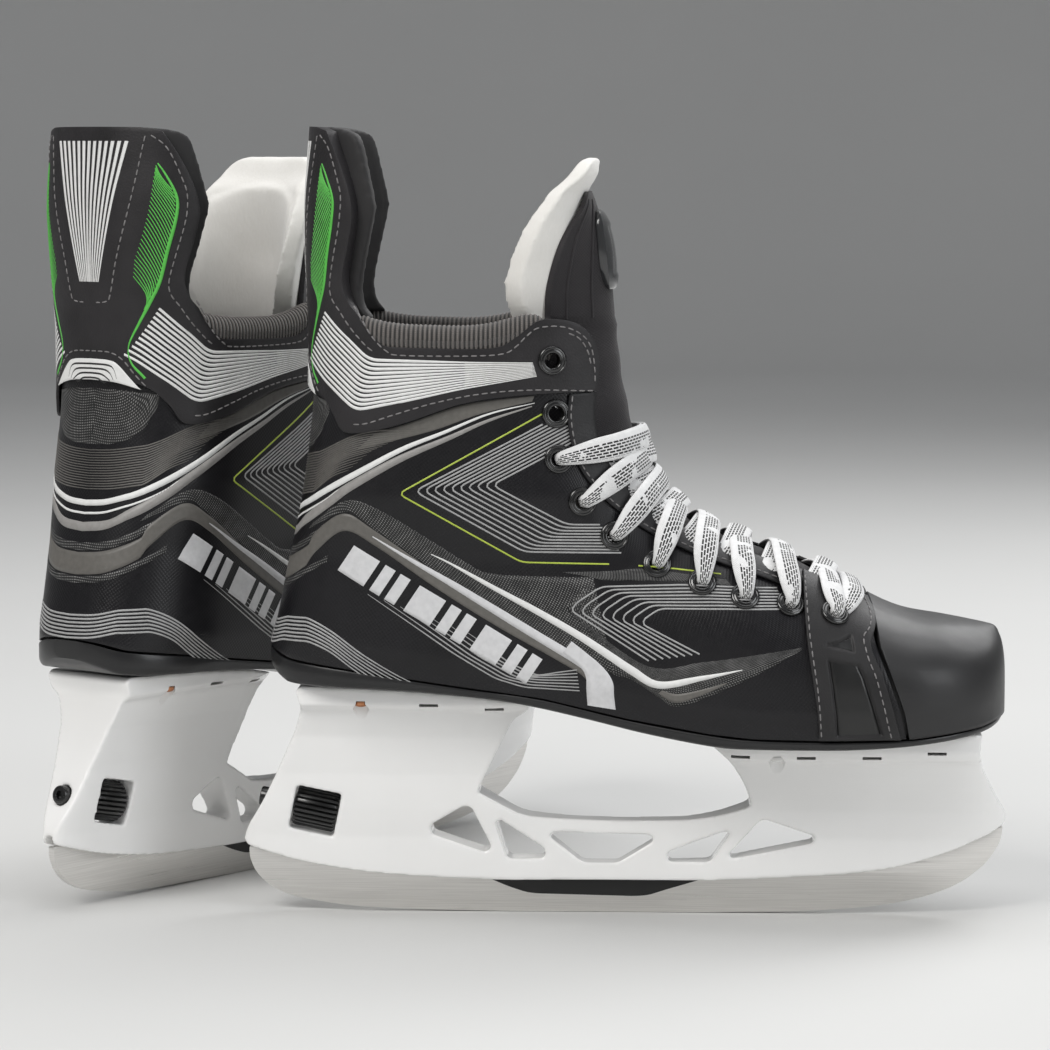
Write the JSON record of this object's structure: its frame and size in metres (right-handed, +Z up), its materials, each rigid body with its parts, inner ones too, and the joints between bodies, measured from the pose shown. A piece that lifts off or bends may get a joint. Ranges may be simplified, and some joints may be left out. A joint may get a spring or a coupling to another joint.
{
  "type": "ice hockey skates",
  "caption": "Pair of lace-up ice hockey skates: moulded black boots with hinged tendon guards and tongues, on white blade holders with releasable steel runners.",
  "frame": {"origin": "on the ice under the middle of the pair's bounding box", "axes": "+X along the right skate towards its toe, +Y from the right skate towards the left skate, +Z up"},
  "size_m": [0.3782, 0.2886, 0.3031],
  "materials": {
    "boot_black": "black composite quarter with printed gloss and woven zones",
    "trim_charcoal": "satin charcoal trim with stitched edges",
    "liner_grey": "brushed grey-brown padded lining",
    "felt_white": "off-white thick felt",
    "sole_black": "matte black outsole",
    "holder_white": "glossy white moulded nylon",
    "runner_steel": "ground stainless steel",
    "lock_black": "glossy black moulded plastic",
    "rivet_copper": "polished copper rivets",
    "lace_white": "waxed white lace with black flecks"
  },
  "bodies": {
    "right_skate": {"right_outsole": "sole_black", "right_boot_shell": "boot_black", "right_toe_cap": "boot_black", "right_collar_panel": "trim_charcoal", "right_liner": "liner_grey", "right_footbed": "trim_charcoal", "right_tongue": "trim_charcoal", "right_lace": "lace_white", "right_blade_holder": "holder_white", "right_rear_plug": "lock_black", "right_eyestay_outer": "trim_charcoal", "right_eyestay_inner": "trim_charcoal", "right_toe_strap_outer": "trim_charcoal", "right_toe_strap_inner": "trim_charcoal", "right_top_eyelet_outer": "lock_black", "right_top_eyelet_inner": "lock_black", "right_rear_rivet_outer": "rivet_copper", "right_rear_rivet_inner": "rivet_copper", "right_front_rivet_outer": "rivet_copper", "right_front_rivet_inner": "rivet_copper"},
    "right_guard": {"right_tendon_guard": "trim_charcoal", "right_tendon_guard_pad": "liner_grey"},
    "right_upper_tongue": {"right_tongue_cap": "trim_charcoal", "right_tongue_felt": "felt_white", "right_tongue_badge": "lock_black"},
    "right_blade": {"right_runner": "runner_steel"},
    "right_wheel": {"right_lock_wheel": "lock_black"},
    "right_bolt": {"right_lock_bolt": "runner_steel", "right_clamp_block": "runner_steel"},
    "left_skate": {"left_outsole": "sole_black", "left_boot_shell": "boot_black", "left_toe_cap": "boot_black", "left_collar_panel": "trim_charcoal", "left_liner": "liner_grey", "left_footbed": "trim_charcoal", "left_tongue": "trim_charcoal", "left_lace": "lace_white", "left_blade_holder": "holder_white", "left_rear_plug": "lock_black", "left_eyestay_outer": "trim_charcoal", "left_eyestay_inner": "trim_charcoal", "left_toe_strap_outer": "trim_charcoal", "left_toe_strap_inner": "trim_charcoal", "left_top_eyelet_outer": "lock_black", "left_top_eyelet_inner": "lock_black", "left_rear_rivet_outer": "rivet_copper", "left_rear_rivet_inner": "rivet_copper", "left_front_rivet_outer": "rivet_copper", "left_front_rivet_inner": "rivet_copper"},
    "left_guard": {"left_tendon_guard": "trim_charcoal", "left_tendon_guard_pad": "liner_grey"},
    "left_upper_tongue": {"left_tongue_cap": "trim_charcoal", "left_tongue_felt": "felt_white", "left_tongue_badge": "lock_black"},
    "left_blade": {"left_runner": "runner_steel"},
    "left_wheel": {"left_lock_wheel": "lock_black"},
    "left_bolt": {"left_lock_bolt": "runner_steel", "left_clamp_block": "runner_steel"}
  },
  "joints": [
    {"name": "right_guard_flex", "type": "hinge", "parent": "right_skate", "child": "right_guard", "pos_m": [-0.07686, -0.09333, 0.2295], "axis": [0, -1, 0], "range_deg": [0, 12], "stiffness_Nm_per_rad": 2.5},
    {"name": "right_tongue_fold", "type": "hinge", "parent": "right_skate", "child": "right_upper_tongue", "pos_m": [0.04264, -0.09333, 0.231], "axis": [0, 1, 0], "range_deg": [0, 40]},
    {"name": "right_blade_drop", "type": "slide", "parent": "right_skate", "child": "right_blade", "axis": [0, 0, -1], "range_m": [0, 0.025]},
    {"name": "right_lock_turn", "type": "hinge", "parent": "right_skate", "child": "right_wheel", "pos_m": [-0.07636, -0.09333, 0.0398], "axis": [0.9781, 0, -0.2079], "range_deg": [0, 360]},
    {"name": "right_bolt_draw", "type": "slide", "parent": "right_skate", "child": "right_bolt", "axis": [-0.9781, 0, 0.2079], "range_m": [0, 0.002]},
    {"name": "left_guard_flex", "type": "hinge", "parent": "left_skate", "child": "left_guard", "pos_m": [-0.16434, -0.07744, 0.2295], "axis": [0.7976, -0.6032, 0], "range_deg": [0, 12], "stiffness_Nm_per_rad": 2.5},
    {"name": "left_tongue_fold", "type": "hinge", "parent": "left_skate", "child": "left_upper_tongue", "pos_m": [-0.09226, 0.01787, 0.231], "axis": [-0.7976, 0.6032, 0], "range_deg": [0, 40]},
    {"name": "left_blade_drop", "type": "slide", "parent": "left_skate", "child": "left_blade", "axis": [0, 0, -1], "range_m": [0, 0.025]},
    {"name": "left_lock_turn", "type": "hinge", "parent": "left_skate", "child": "left_wheel", "pos_m": [-0.16404, -0.07704, 0.0398], "axis": [0.59, 0.7802, -0.2079], "range_deg": [0, 360]},
    {"name": "left_bolt_draw", "type": "slide", "parent": "left_skate", "child": "left_bolt", "axis": [-0.59, -0.7802, 0.2079], "range_m": [0, 0.002]},
    {"name": "left_skate_lift", "type": "slide", "parent": "right_skate", "child": "left_skate", "axis": [0, 0, 1], "range_m": [0, 0.4]}
  ],
  "couplings": [
    {"joint": "right_lock_turn", "follows": "right_bolt_draw", "rad_per_m": 3141.5},
    {"joint": "left_lock_turn", "follows": "left_bolt_draw", "rad_per_m": 3141.5}
  ]
}
